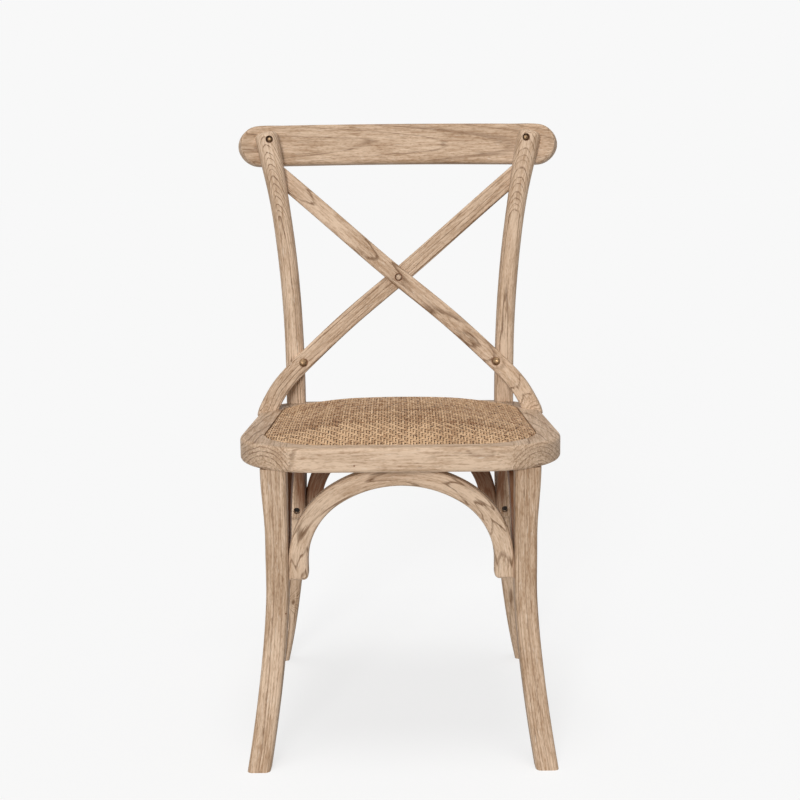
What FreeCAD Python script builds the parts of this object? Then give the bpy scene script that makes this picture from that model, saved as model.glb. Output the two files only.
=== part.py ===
import FreeCAD, Part
import math
import os

from FreeCAD import Vector

# Millimetres. X is to the viewer's right, Y runs from the seat's front edge to
# the back, Z is up from the floor. Until the last step Y is zero at the front
# edge of the seat frame; then the whole chair is centred over the origin.

# Share of a bar's half thickness that its rounded corners may take
fullest_corner = 0.96

# Overall heights
chair_height = 890.0
seat_height = 450.0

# Seat frame, a flat ring of four sawn rails
frame_thickness = 34.0
frame_width = 448.0
frame_back_width = 430.0
frame_depth = 406.0
frame_front_radius = 113.0
frame_back_radius = 80.0
frame_edge_radius = 6.0
frame_joint_x = 150.0
front_rail_width = 72.0
back_rail_width = 70.0

# Woven seat and what lies under it
weave_width = 381.0
weave_back_width = 366.0
weave_front_margin = 24.0
weave_back_margin = 28.0
weave_front_radius = 92.0
weave_back_radius = 60.0
weave_thickness = 3.0
weave_crown = 28.0
crown_squareness = 4.5
crown_fullness = 2.6
crown_margin = 1.04
crown_points = 17
rebate_depth = 12.0
base_panel_thickness = 8.0
seat_gap = 0.4

# Length past the floor that the bent bars have before they are sawn off there
overrun = 12.0

# Front legs
leg_front_setback = 28.0
leg_top_width = 36.0
leg_width = 31.0
leg_corner_radius = 7.0
leg_taper_length = 95.0
leg_bend_height = 250.0
leg_foot_out = 27.5
leg_foot_forward = 34.0
leg_bend_power = 1.5
leg_tenon_diameter = 22.0
leg_tenon_length = 24.0

# Rear legs, each in one piece with its back post
post_x = 166.3
post_y = 398.0
post_width = 29.5
post_depth = 30.0
post_leg_corner_radius = 6.0
post_corner_radius = 13.0
post_rounding_length = 128.0
post_head_width = 35.0
post_head_length = 110.0
post_head_swell = 66.0
post_top_below_chair_top = 14.0
post_top_rounding = 8.0
post_spread = 44.0
post_spread_power = 2.3
post_rake = 43.0
post_rake_power = 1.5
rear_foot_out = 40.5
rear_foot_back = 62.0
rear_bend_power = 2.5

# Top rail, bent forward at its ends
rail_length = 505.0
rail_height = 64.0
rail_thickness = 22.0
rail_sag = 40.0
rail_bow = 3.5
rail_corner_radius = 6.0
rail_housing_depth = 6.0
rail_end_angles = (18, 36, 52, 66, 78)

# Crossed splats
splat_width = 28.0
splat_thickness = 12.0
splat_corner_radius = 3.5
splat_top_drop = 6.0
splat_top_inset = 0.0
splat_cross_height = 198.0
splat_screw_height = 64.4
splat_screw_inset = 12.5
splat_bow = 4.0
splat_housing_depth = 3.5
splat_foot_y = 312.0
splat_foot_inset = 12.5
splat_head_screw_setback = 12.0
splat_sweep_pull = 95.0
splat_landing = Vector(0.25, -0.55, -0.8)
splat_sections = 22
splat_lap = 0.6
splat_tenon_diameter = 9.0
splat_tenon_length = 14.0

# Bentwood arches under the seat
arch_half_span = 154.5
arch_thickness = 27.0
arch_depth = 26.0
arch_edge_radius = 5.0
arch_flat = 1.5
arch_shoulder_radius = 97.0
arch_shoulder_height = 106.0
arch_length = 156.0
side_arch_length = 151.0
arch_toe_radius = 7.0
arch_setback = 5.0
rear_arch_setback = 1.0

# Fasteners and fits
fit_gap = 0.1
bore_lead = 30.0
dowel_diameter = 8.0
dowel_length = 20.0
dowel_height = 11.0
dowel_spacing = 15.0
rail_screw_head = 9.5
rail_screw_bore = 11.5
rail_screw_recess = 5.0
rail_screw_drop = 24.0
rail_screw_shift = 5.0
rail_screw_length = 32.0
plug_diameter = 10.5
plug_thickness = 3.0
plug_recess = 1.2
cross_screw_length = 14.0
dome_diameter = 12.5
dome_height = 3.6
dome_screw_length = 30.0
pan_head_diameter = 8.0
pan_head_height = 2.6
shank_diameter = 4.0
splat_top_screw_length = 26.0
arch_screw_rise = 15.0
arch_screw_bore = 10.5
arch_screw_recess = 8.0
arch_screw_length = 33.0
crown_screw_spread = 22.0
crown_screw_length = 33.0
bolt_diameter = 6.0
bolt_head_diameter = 11.0
bolt_head_height = 4.0
bolt_bore = 13.0
bolt_recess = 7.0
bolt_length = 45.0
panel_screw_x = 160.0
panel_screw_front_y = 100.0
panel_screw_back_y = 300.0
panel_screw_recess = 8.0
panel_screw_length = 18.0

frame_bottom = seat_height - frame_thickness
rebate_floor = seat_height - rebate_depth
rail_mid_height = chair_height - rail_height / 2
post_top = chair_height - post_top_below_chair_top
leg_x = arch_half_span + leg_top_width / 2
leg_y = leg_front_setback + leg_top_width / 2
rear_bend_height = frame_bottom


def section(centre, wide, deep, width, depth, radius):
    """A rounded rectangle of four lines and four arcs, across two unit vectors."""
    half_w = width / 2
    half_d = depth / 2
    r = min(radius, fullest_corner * half_w, fullest_corner * half_d)
    cut = r * (1 - math.sqrt(0.5))

    def at(u, v):
        return centre + wide * u + deep * v

    corners = []
    for su, sv in ((1, -1), (1, 1), (-1, 1), (-1, -1)):
        along_u = at(su * (half_w - r), sv * half_d)
        along_v = at(su * half_w, sv * (half_d - r))
        middle = at(su * (half_w - cut), sv * (half_d - cut))
        pair = (along_u, along_v) if su * sv < 0 else (along_v, along_u)
        corners.append((pair[0], middle, pair[1]))
    edges = []
    for i, (start, middle, end) in enumerate(corners):
        edges.append(Part.Arc(start, middle, end).toShape())
        edges.append(Part.makeLine(end, corners[(i + 1) % 4][0]))
    return Part.Wire(edges)


def bent_bar(centres, reference, sizes):
    """A solid lofted along centres; sizes are (width, depth, corner radius)."""
    curve = Part.BSplineCurve()
    curve.interpolate(centres)
    wires = []
    for centre, (width, depth, radius) in zip(centres, sizes):
        tangent = curve.tangent(curve.parameter(centre))[0]
        wide = reference - tangent * reference.dot(tangent)
        wide.normalize()
        deep = wide.cross(tangent)
        wires.append(section(centre, wide, deep, width, depth, radius))
    return Part.makeLoft(wires, True)


def blend(start, end, share):
    """A smooth change from start to end as share goes from 0 to 1."""
    share = max(0.0, min(1.0, share))
    return start + (end - start) * share * share * (3 - 2 * share)


def box(x0, x1, y0, y1, z0, z1):
    """A box between two corners."""
    return Part.makeBox(x1 - x0, y1 - y0, z1 - z0, Vector(x0, y0, z0))


def rod(start, direction, diameter, length):
    """A cylinder from start along direction."""
    return Part.makeCylinder(diameter / 2, length, start, direction)


def mirrored(shape):
    """The shape on the other side of the chair."""
    return shape.mirror(Vector(0, 0, 0), Vector(1, 0, 0))


def tray_face(half_front, half_back, y_front, y_back, r_front, r_back):
    """A flat face with two large front corners and two smaller back corners."""
    front = Vector(half_front - r_front, y_front + r_front, 0)
    back = Vector(half_back - r_back, y_back - r_back, 0)
    step = back - front
    lean = math.atan2(step.y, step.x) - math.acos((r_front - r_back) / step.Length)

    def arc(centre, radius, start, end):
        turns = (start, (start + end) / 2, end)
        points = [centre + Vector(math.cos(t), math.sin(t), 0) * radius for t in turns]
        return points

    right = [arc(front, r_front, -math.pi / 2, lean), arc(back, r_back, lean, math.pi / 2)]
    left = []
    for points in reversed(right):
        left.append([Vector(-p.x, p.y, 0) for p in reversed(points)])
    arcs = right + left
    edges = []
    for i, points in enumerate(arcs):
        edges.append(Part.Arc(*points).toShape())
        edges.append(Part.makeLine(points[-1], arcs[(i + 1) % len(arcs)][0]))
    return Part.Face(Part.Wire(edges))


def slab(face, z0, z1):
    """A flat face made solid between two heights."""
    raised = face.copy()
    raised.translate(Vector(0, 0, z0))
    return raised.extrude(Vector(0, 0, z1 - z0))


def frame_outline():
    return tray_face(frame_width / 2, frame_back_width / 2, 0, frame_depth,
                     frame_front_radius, frame_back_radius)


def weave_outline(inset):
    """The woven seat's outline, drawn in by inset all round."""
    return tray_face(weave_width / 2 - inset, weave_back_width / 2 - inset,
                     weave_front_margin + inset, frame_depth - weave_back_margin - inset,
                     weave_front_radius - inset, weave_back_radius - inset)


def frame_side_x(y):
    """Half the frame's width at a place on its straight sides."""
    start = frame_front_radius
    end = frame_depth - frame_back_radius
    share = (y - start) / (end - start)
    return frame_width / 2 + (frame_back_width - frame_width) / 2 * share


def post_centre(z):
    """The middle of the right rear leg and post at a height."""
    x = post_x
    y = post_y
    if z > seat_height:
        rise = (z - seat_height) / (post_top - seat_height)
        x += post_spread * rise ** post_spread_power
        y += post_rake * rise ** post_rake_power
    if z < rear_bend_height:
        fall = (rear_bend_height - z) / rear_bend_height
        x += rear_foot_out * fall ** rear_bend_power
        y += rear_foot_back * fall ** rear_bend_power
    return Vector(x, y, z)


def post_slope(z):
    """How far the post leans back per millimetre of height."""
    step = 1.0
    return (post_centre(z + step).y - post_centre(z - step).y) / (2 * step)


def rear_post():
    """The right rear leg and post: squared below the seat, round above it."""
    heights = [-overrun + (rear_bend_height + overrun) * i / 8 for i in range(9)]
    straight = (seat_height - rear_bend_height) / 3
    heights += [rear_bend_height + straight * i for i in (1, 2, 3)]
    heights += [seat_height + (post_top - seat_height) * i / 10 for i in range(1, 11)]
    sizes = []
    for z in heights:
        head = blend(0, 1, (z - post_top + post_head_length) / post_head_swell)
        above = blend(0, 1, (z - seat_height) / post_rounding_length)
        width = post_width + (post_head_width - post_width) * head
        radius = post_leg_corner_radius + (post_corner_radius - post_leg_corner_radius) * above
        sizes.append((width, post_depth, radius))
    bar = bent_bar([post_centre(z) for z in heights], Vector(1, 0, 0), sizes)
    reach = 2 * frame_depth
    bar = bar.cut(box(0, reach, 0, reach, -2 * overrun, 0))
    crown = [edge for edge in bar.Edges if edge.BoundBox.ZMin > post_top - post_top_rounding]
    return bar.makeFillet(post_top_rounding, crown)


def leg_centre(z):
    """The middle of the right front leg at a height."""
    x = leg_x
    y = leg_y
    if z < leg_bend_height:
        fall = (leg_bend_height - z) / leg_bend_height
        x += leg_foot_out * fall ** leg_bend_power
        y -= leg_foot_forward * fall ** leg_bend_power
    return Vector(x, y, z)


def front_leg():
    """The right front leg, with the round tenon that enters the seat frame."""
    heights = [-overrun + (leg_bend_height + overrun) * i / 8 for i in range(9)]
    heights += [leg_bend_height + (frame_bottom - leg_bend_height) * i / 6 for i in range(1, 7)]
    centres = []
    sizes = []
    for z in heights:
        width = blend(leg_top_width, leg_width, (frame_bottom - z) / leg_taper_length)
        inner_face_shift = (leg_top_width - width) / 2
        centres.append(leg_centre(z) - Vector(inner_face_shift, inner_face_shift, 0))
        sizes.append((width, width, leg_corner_radius))
    bar = bent_bar(centres, Vector(1, 0, 0), sizes)
    reach = frame_depth
    bar = bar.cut(box(0, reach, -reach, reach, -2 * overrun, 0))
    tenon = rod(Vector(leg_x, leg_y, frame_bottom), Vector(0, 0, 1),
                leg_tenon_diameter, leg_tenon_length)
    return bar.fuse(tenon).removeSplitter()


def rail_radius():
    half = rail_length / 2
    return (half * half + rail_sag * rail_sag) / (2 * rail_sag)


def rail_setback(x):
    """How far the rail has come forward at x from where it is in the middle."""
    radius = rail_radius()
    return radius - math.sqrt(radius * radius - x * x)


def rail_centre(x):
    """The middle line of the top rail, seated on the posts' back faces."""
    seat = post_centre(rail_mid_height)
    clear = post_depth / 2 + rail_thickness / 2 - rail_housing_depth
    middle_y = seat.y + clear + rail_setback(seat.x)
    bow = rail_bow * (2 * x / rail_length) ** 2
    return Vector(x, middle_y - rail_setback(x), rail_mid_height - bow)


def top_rail():
    """The bent top rail, leaning back with the posts, with rounded ends."""
    end_radius = rail_height / 2
    straight = rail_length / 2 - end_radius
    places = [straight * i / 7 for i in range(8)]
    places += [straight + end_radius * math.sin(math.radians(a)) for a in rail_end_angles]
    places = [-x for x in reversed(places[1:])] + places
    sizes = []
    for x in places:
        past = max(0.0, abs(x) - straight)
        height = 2 * math.sqrt(end_radius ** 2 - past ** 2)
        sizes.append((height, rail_thickness, rail_corner_radius))
    lean = Vector(0, post_slope(rail_mid_height), 1)
    lean.normalize()
    return bent_bar([rail_centre(x) for x in places], lean, sizes)


def splat_path(offset):
    """Named points of the splat from the left post's head to the right side's foot."""
    rail_bottom = chair_height - rail_height - rail_bow
    top_z = rail_bottom - splat_top_drop
    head = post_centre(top_z)
    behind = post_depth / 2 + splat_thickness / 2 - splat_housing_depth
    top = Vector(splat_top_inset - head.x, head.y + behind, top_z)
    screw_z = seat_height + splat_screw_height
    low = post_centre(screw_z)
    low_point = Vector(low.x - splat_screw_inset, low.y - behind, screw_z)
    cross_z = seat_height + splat_cross_height
    share = (cross_z - screw_z) / (top_z - screw_z)
    cross = Vector(0, low_point.y + (top.y - low_point.y) * share + offset, cross_z)
    bow = (cross + low_point) * 0.5 + Vector(0, 0, splat_bow)
    foot = Vector(frame_side_x(splat_foot_y) - splat_foot_inset, splat_foot_y, seat_height)
    leave = (low_point - bow).normalize() * splat_sweep_pull
    land = Vector(splat_landing).normalize() * splat_sweep_pull
    points = {"head": top, "upper": (top + cross) * 0.5, "cross": cross, "bow": bow,
              "screw": low_point}
    for t in (0.25, 0.5, 0.75, 1.0):
        start_weight = 2 * t ** 3 - 3 * t ** 2 + 1
        leave_weight = t ** 3 - 2 * t ** 2 + t
        land_weight = t ** 3 - t ** 2
        points[f"sweep {t}"] = (low_point * start_weight + leave * leave_weight
                                + foot * (1 - start_weight) + land * land_weight)
    points["sunk"] = foot + land * (rebate_depth / splat_sweep_pull)
    return points


def splat_curve(offset):
    """The middle line of a splat, and the direction across its width."""
    points = splat_path(offset)
    curve = Part.BSplineCurve()
    curve.interpolate(list(points.values()))
    run = points["screw"] - points["head"]
    across = Vector(-run.z, 0, run.x)
    across.normalize()
    return curve, across


def splat(offset):
    """One splat, still square at its foot."""
    curve, across = splat_curve(offset)
    centres = curve.discretize(Number=splat_sections)
    size = (splat_width, splat_thickness, splat_corner_radius)
    return bent_bar(centres, across, [size] * len(centres))


def splat_normal(offset, point):
    """The direction that the splat's front face looks in at a point."""
    curve, across = splat_curve(offset)
    tangent = curve.tangent(curve.parameter(point))[0]
    normal = across.cross(tangent)
    if normal.y > 0:
        normal = normal * -1
    return normal.normalize()


def arch(half_span, end_height):
    """A bentwood arch across X about its own middle, its crown cut flat."""
    outer_half = half_span
    inner_half = half_span - arch_thickness
    crown = frame_bottom + arch_flat - arch_thickness
    spring = crown - arch_shoulder_height
    inset = inner_half - arch_shoulder_radius
    rise = arch_shoulder_height
    shoulder = arch_shoulder_radius
    crown_radius = (inset ** 2 + rise ** 2 - shoulder ** 2) / (2 * (rise - shoulder))
    crown_centre = Vector(0, 0, crown - crown_radius)
    shoulder_centre = Vector(inset, 0, spring)
    turn = math.atan2(spring - crown_centre.z, inset)

    def half(extra, foot_x):
        def on(centre, radius, angle):
            return centre + Vector(math.cos(angle), 0, math.sin(angle)) * radius
        r_shoulder = shoulder + extra
        r_crown = crown_radius + extra
        leg_end = Vector(foot_x, 0, end_height)
        springing = on(shoulder_centre, r_shoulder, 0)
        middle = on(shoulder_centre, r_shoulder, turn / 2)
        meet = on(shoulder_centre, r_shoulder, turn)
        top = on(crown_centre, r_crown, math.pi / 2)
        return leg_end, springing, middle, meet, top

    def mirror_point(p):
        return Vector(-p.x, p.y, p.z)

    edges = []
    for extra, foot_x in ((arch_thickness, outer_half), (0, inner_half)):
        leg_end, springing, middle, meet, top = half(extra, foot_x)
        edges.append(Part.makeLine(leg_end, springing))
        edges.append(Part.Arc(springing, middle, meet).toShape())
        edges.append(Part.Arc(meet, top, mirror_point(meet)).toShape())
        edges.append(Part.Arc(mirror_point(meet), mirror_point(middle),
                              mirror_point(springing)).toShape())
        edges.append(Part.makeLine(mirror_point(springing), mirror_point(leg_end)))
    for side in (1, -1):
        edges.append(Part.makeLine(Vector(side * outer_half, 0, end_height),
                                   Vector(side * inner_half, 0, end_height)))
    wire = Part.Wire(Part.__sortEdges__(edges))
    body = Part.Face(wire).extrude(Vector(0, arch_depth, 0))
    body.translate(Vector(0, -arch_depth / 2, 0))
    toes = []
    for edge in body.Edges:
        at_toe = abs(edge.BoundBox.ZMax - end_height) < fit_gap
        at_inside = abs(abs(edge.CenterOfMass.x) - inner_half) < fit_gap
        if at_toe and at_inside:
            toes.append(edge)
    body = body.makeFillet(arch_toe_radius, toes)
    long_edges = []
    for edge in body.Edges:
        flat_y = edge.BoundBox.YLength < fit_gap
        if flat_y and edge.BoundBox.ZMax > end_height + fit_gap:
            long_edges.append(edge)
    body = body.makeFillet(arch_edge_radius, long_edges)
    return body.cut(box(-half_span, half_span, -arch_depth, arch_depth,
                        frame_bottom, chair_height))


def crown_height(x, y, drop):
    """Height of the seat's crowned surface, lowered by drop."""
    middle_y = (weave_front_margin + frame_depth - weave_back_margin) / 2
    half_y = middle_y - weave_front_margin
    u = abs(x) / (weave_width / 2)
    v = abs(y - middle_y) / half_y
    reach = (u ** crown_squareness + v ** crown_squareness) ** (1 / crown_squareness)
    return seat_height + weave_crown * (1 - reach ** crown_fullness) - drop


def crowned_block(outline, floor, drop):
    """The outline made solid from floor up to the crowned surface."""
    rows = crown_points
    half_x = weave_width / 2 * crown_margin
    middle_y = frame_depth / 2
    half_y = middle_y * crown_margin
    grid = []
    for i in range(rows):
        x = half_x * (2 * i / (rows - 1) - 1)
        line = []
        for j in range(rows):
            y = middle_y + half_y * (2 * j / (rows - 1) - 1)
            line.append(Vector(x, y, crown_height(x, y, drop)))
        grid.append(line)
    surface = Part.BSplineSurface()
    surface.interpolate(grid)
    under = surface.toShape().extrude(Vector(0, 0, -chair_height))
    return slab(outline, floor, seat_height + 2 * weave_crown).common(under)


def screw(point, direction, head_diameter, head_height, length, diameter=shank_diameter):
    """A flat-headed fastener: the head's top is at point, the shank goes along."""
    head = rod(point, direction, head_diameter, head_height)
    shank = rod(point + direction * head_height, direction, diameter, length)
    return head.fuse(shank).removeSplitter()


def screw_hole(point, direction, bore, head_height, length, diameter=shank_diameter):
    """The bore for a sunk head whose top is at point, and the shank's hole beyond it."""
    wide = rod(point - direction * bore_lead, direction, bore, bore_lead + head_height)
    shank = rod(point, direction, diameter + 2 * fit_gap, head_height + length + fit_gap)
    return wide.fuse(shank)


def largest(shape):
    """The biggest solid that is left of a shape."""
    return max(shape.Solids, key=lambda solid: solid.Volume)


# The chair's members, in their bent and sawn form
right_post = rear_post()
left_post = mirrored(right_post)
right_leg = front_leg()
rail = top_rail()
front_splat_offset = (splat_lap - splat_thickness) / 2
front_splat = splat(front_splat_offset)
back_splat = mirrored(splat(-front_splat_offset))

# The seat frame as one ring, before its joints are cut
blank = slab(frame_outline(), frame_bottom, seat_height)
rims = [edge for edge in blank.Edges if edge.BoundBox.ZLength < fit_gap]
blank = blank.makeFillet(frame_edge_radius, rims)
rear_inner_y = frame_depth - back_rail_width
hollows = [slab(weave_outline(0), rebate_floor, seat_height + fit_gap),
           box(-frame_joint_x, frame_joint_x, front_rail_width, rear_inner_y,
               frame_bottom - fit_gap, seat_height), left_post, right_post]

# Round tenons of the front legs and of the splats' feet; each splat's head is trimmed
# to the rail's underside
up = Vector(0, 0, 1)
down = Vector(0, 0, -1)
for side in (-1, 1):
    foot = Vector(side * (frame_side_x(splat_foot_y) - splat_foot_inset), splat_foot_y,
                  seat_height)
    tenon = rod(foot, down, splat_tenon_diameter, splat_tenon_length)
    hollows.append(rod(foot + up * rebate_depth, down, splat_tenon_diameter + 2 * fit_gap,
                       rebate_depth + splat_tenon_length + fit_gap))
    hollows.append(rod(Vector(side * leg_x, leg_y, frame_bottom), up,
                       leg_tenon_diameter + 2 * fit_gap, leg_tenon_length + fit_gap))
    if side > 0:
        front_splat = largest(front_splat.cut([blank, rail])).fuse(tenon).removeSplitter()
    else:
        back_splat = largest(back_splat.cut([blank, rail])).fuse(tenon).removeSplitter()
back_splat = back_splat.cut(front_splat)
ring = blank.cut(hollows)

# Arches: one behind the front legs' faces, one between the rear legs, two at the sides
arch_end_height = frame_bottom - arch_length
front_arch = arch(arch_half_span, arch_end_height)
rear_arch = front_arch.copy()
front_arch_y = leg_front_setback + arch_setback + arch_depth / 2
rear_arch_y = frame_depth - rear_arch_setback - arch_depth / 2
front_arch.translate(Vector(0, front_arch_y, 0))
rear_arch.translate(Vector(0, rear_arch_y, 0))

side_front_y = leg_front_setback + leg_width
side_back_y = post_y - post_depth / 2 + arch_flat
side_arch_y = (side_front_y + side_back_y) / 2
side_arch_end_height = frame_bottom - side_arch_length
side_arch = arch((side_back_y - side_front_y) / 2, side_arch_end_height)
side_arch.rotate(Vector(0, 0, 0), up, 90)
side_arch.translate(Vector(post_x, side_arch_y, 0))

# Flats on the rear legs where the arches' ends lie against them
rear_land = box(-arch_half_span, arch_half_span, rear_arch_y - arch_depth / 2,
                rear_arch_y + arch_depth / 2, arch_end_height, frame_bottom)
side_land = box(post_x - arch_depth / 2, post_x + arch_depth / 2, side_arch_y, side_back_y,
                side_arch_end_height, frame_bottom)
housings = [rear_land, rail, front_splat, back_splat]

nodes = {
    "rear_leg_post_left": left_post,
    "rear_leg_post_right": right_post,
    "front_leg_left": mirrored(right_leg),
    "front_leg_right": right_leg,
    "top_rail": rail,
    "cross_splat_front": front_splat,
    "cross_splat_back": back_splat,
    "front_arch": front_arch,
    "rear_arch": rear_arch,
    "side_arch_left": mirrored(side_arch),
    "side_arch_right": side_arch,
}

# The four rails of the seat frame, butted at vertical joints
half_depth = frame_depth / 2
reach = frame_width
nodes["seat_rail_front"] = ring.common(box(-frame_joint_x, frame_joint_x, -fit_gap, half_depth,
                                           0, chair_height))
nodes["seat_rail_back"] = ring.common(box(-frame_joint_x, frame_joint_x, half_depth,
                                          frame_depth + fit_gap, 0, chair_height))
nodes["seat_rail_left"] = ring.common(box(-reach, -frame_joint_x, -fit_gap,
                                          frame_depth + fit_gap, 0, chair_height))
nodes["seat_rail_right"] = ring.common(box(frame_joint_x, reach, -fit_gap,
                                           frame_depth + fit_gap, 0, chair_height))

# Base panel, padding and woven seat, one over the other in the frame's rebate
skin = seat_gap + weave_thickness
panel_top = rebate_floor + base_panel_thickness
nodes["seat_base_panel"] = slab(weave_outline(skin), rebate_floor, panel_top)
nodes["seat_padding"] = crowned_block(weave_outline(skin + seat_gap), panel_top + seat_gap, skin)
inside = crowned_block(weave_outline(skin), rebate_floor - fit_gap, weave_thickness)
nodes["woven_seat"] = crowned_block(weave_outline(seat_gap), rebate_floor, 0).cut(inside)


cutters = {name: [] for name in nodes}


def drill(names, holes):
    """Note what is cut from several nodes once all fasteners are placed."""
    for name in names:
        cutters[name] += holes


drill(("rear_leg_post_right",), housings + [side_land])
drill(("rear_leg_post_left",), housings + [mirrored(side_land)])

# Dowels across the four joints of the frame
dowels = []
holes = []
for side in (-1, 1):
    for first_y in (front_rail_width - 2 * dowel_diameter - dowel_spacing / 2,
                    rear_inner_y + dowel_spacing / 2 + dowel_diameter / 2):
        for y in (first_y, first_y + dowel_spacing):
            start = Vector(side * frame_joint_x - dowel_length / 2, y,
                           frame_bottom + dowel_height)
            along = Vector(1, 0, 0)
            dowels.append(rod(start, along, dowel_diameter, dowel_length))
            holes.append(rod(start - along * fit_gap, along, dowel_diameter + 2 * fit_gap,
                             dowel_length + 2 * fit_gap))
drill(("seat_rail_front", "seat_rail_back", "seat_rail_left", "seat_rail_right"), holes)
nodes["seat_frame_dowels"] = Part.makeCompound(dowels)

# Screws from the posts' faces into the top rail, sunk in counterbores
screw_z = chair_height - rail_screw_drop
post_there = post_centre(screw_z)
back = Vector(0, 1, 0)
forward = Vector(0, -1, 0)
screws = []
for side, name in ((-1, "rear_leg_post_left"), (1, "rear_leg_post_right")):
    point = Vector(side * (post_there.x - rail_screw_shift),
                   post_there.y - post_depth / 2 + rail_screw_recess, screw_z)
    screws.append(screw(point, back, rail_screw_head, pan_head_height, rail_screw_length))
    hole = screw_hole(point, back, rail_screw_bore, pan_head_height, rail_screw_length)
    drill((name, "top_rail"), [hole])
nodes["top_rail_screws"] = Part.makeCompound(screws)

# Screw through the crossing of the splats, hidden by a wooden plug
path = splat_path(front_splat_offset)
crossing = path["cross"]
look = splat_normal(front_splat_offset, crossing)
face = crossing + look * (splat_thickness / 2)
inward = look * -1
plug_point = face + inward * plug_recess
head_point = plug_point + inward * plug_thickness
nodes["cross_centre_plug"] = rod(plug_point, inward, plug_diameter, plug_thickness)
nodes["cross_centre_screw"] = screw(head_point, inward, pan_head_diameter, pan_head_height,
                                    cross_screw_length)
hole = screw_hole(head_point, inward, plug_diameter + 2 * fit_gap, pan_head_height,
                  cross_screw_length)
drill(("cross_splat_front", "cross_splat_back"), [hole])

# Domed screws that hold the splats to the posts' faces, and the screws at their heads
domes = []
back_screws = []
for offset, side, name in ((front_splat_offset, 1, "cross_splat_front"),
                           (-front_splat_offset, -1, "cross_splat_back")):
    path = splat_path(offset)
    low_point = path["screw"]
    look = splat_normal(offset, low_point)
    face = low_point + look * (splat_thickness / 2)
    radius = (dome_diameter ** 2 / 4 + dome_height ** 2) / (2 * dome_height)
    ball = Part.makeSphere(radius, face - look * (radius - dome_height))
    cap = ball.common(rod(face, look, 2 * dome_diameter, 2 * dome_height))
    dome = cap.fuse(rod(face, look * -1, shank_diameter, dome_screw_length)).removeSplitter()
    hole = rod(face, look * -1, shank_diameter + 2 * fit_gap, dome_screw_length + fit_gap)
    fall = (path["upper"] - path["head"]).normalize()
    high_point = path["head"] + fall * splat_head_screw_setback
    behind = splat_normal(offset, high_point) * -1
    rear_face = high_point + behind * (splat_thickness / 2)
    rear_screw = screw(rear_face + behind * pan_head_height, behind * -1, pan_head_diameter,
                       pan_head_height, splat_top_screw_length)
    rear_hole = rod(rear_face, behind * -1, shank_diameter + 2 * fit_gap,
                    splat_top_screw_length + fit_gap)
    if side < 0:
        dome, hole = mirrored(dome), mirrored(hole)
        rear_screw, rear_hole = mirrored(rear_screw), mirrored(rear_hole)
    domes.append(dome)
    back_screws.append(rear_screw)
    low_post = "rear_leg_post_right" if side > 0 else "rear_leg_post_left"
    high_post = "rear_leg_post_left" if side > 0 else "rear_leg_post_right"
    drill((name, low_post), [hole])
    drill((name, high_post), [rear_hole])
nodes["splat_domed_screws"] = Part.makeCompound(domes)
nodes["splat_head_screws"] = Part.makeCompound(back_screws)

# Screws through the arches' ends into the legs, and through their crowns into the frame
end_screws = []
crown_screws = []


def arch_fasteners(name, middle_point, along, end_height, half, end_names, crown_name):
    """Two end screws and two crown screws for one arch."""
    for side, end_name in zip((-1, 1), end_names):
        way = along * side
        height = up * (end_height + arch_screw_rise)
        point = middle_point + height + way * (half - arch_thickness + arch_screw_recess)
        end_screws.append(screw(point, way, pan_head_diameter, pan_head_height,
                                arch_screw_length))
        hole = screw_hole(point, way, arch_screw_bore, pan_head_height, arch_screw_length)
        drill((name, end_name), [hole])
        base = frame_bottom + arch_flat - arch_thickness
        start = middle_point + up * (base + arch_screw_recess) + way * crown_screw_spread
        crown_screws.append(screw(start, up, pan_head_diameter, pan_head_height,
                                  crown_screw_length))
        hole = screw_hole(start, up, arch_screw_bore, pan_head_height, crown_screw_length)
        drill((name, crown_name), [hole])


side_half = (side_back_y - side_front_y) / 2
right = Vector(1, 0, 0)
arch_fasteners("front_arch", Vector(0, front_arch_y, 0), right, arch_end_height,
               arch_half_span, ("front_leg_left", "front_leg_right"), "seat_rail_front")
arch_fasteners("rear_arch", Vector(0, rear_arch_y, 0), right, arch_end_height,
               arch_half_span, ("rear_leg_post_left", "rear_leg_post_right"),
               "seat_rail_back")
arch_fasteners("side_arch_left", Vector(-post_x, side_arch_y, 0), back,
               side_arch_end_height, side_half, ("front_leg_left", "rear_leg_post_left"),
               "seat_rail_left")
arch_fasteners("side_arch_right", Vector(post_x, side_arch_y, 0), back,
               side_arch_end_height, side_half, ("front_leg_right", "rear_leg_post_right"),
               "seat_rail_right")
nodes["arch_end_screws"] = Part.makeCompound(end_screws)
nodes["arch_crown_screws"] = Part.makeCompound(crown_screws)

# Bolts from behind through the posts into the seat frame
bolts = []
for side, post_name, rail_name in ((-1, "rear_leg_post_left", "seat_rail_left"),
                                   (1, "rear_leg_post_right", "seat_rail_right")):
    point = Vector(side * post_x, post_y + post_depth / 2 - bolt_recess,
                   seat_height - frame_thickness / 2)
    bolts.append(screw(point, forward, bolt_head_diameter, bolt_head_height, bolt_length,
                       bolt_diameter))
    hole = screw_hole(point, forward, bolt_bore, bolt_head_height, bolt_length,
                      bolt_diameter)
    drill((post_name, rail_name), [hole])
nodes["post_bolts"] = Part.makeCompound(bolts)

# Screws from below through the frame's ledge into the base panel
panel_screws = []
for side, name in ((-1, "seat_rail_left"), (1, "seat_rail_right")):
    for y in (panel_screw_front_y, panel_screw_back_y):
        point = Vector(side * panel_screw_x, y, frame_bottom + panel_screw_recess)
        panel_screws.append(screw(point, up, pan_head_diameter, pan_head_height,
                                  panel_screw_length))
        hole = screw_hole(point, up, arch_screw_bore, pan_head_height, panel_screw_length)
        drill((name, "seat_base_panel"), [hole])
nodes["seat_panel_screws"] = Part.makeCompound(panel_screws)

for name, tools in cutters.items():
    if tools:
        nodes[name] = largest(nodes[name].cut(tools))

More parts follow.
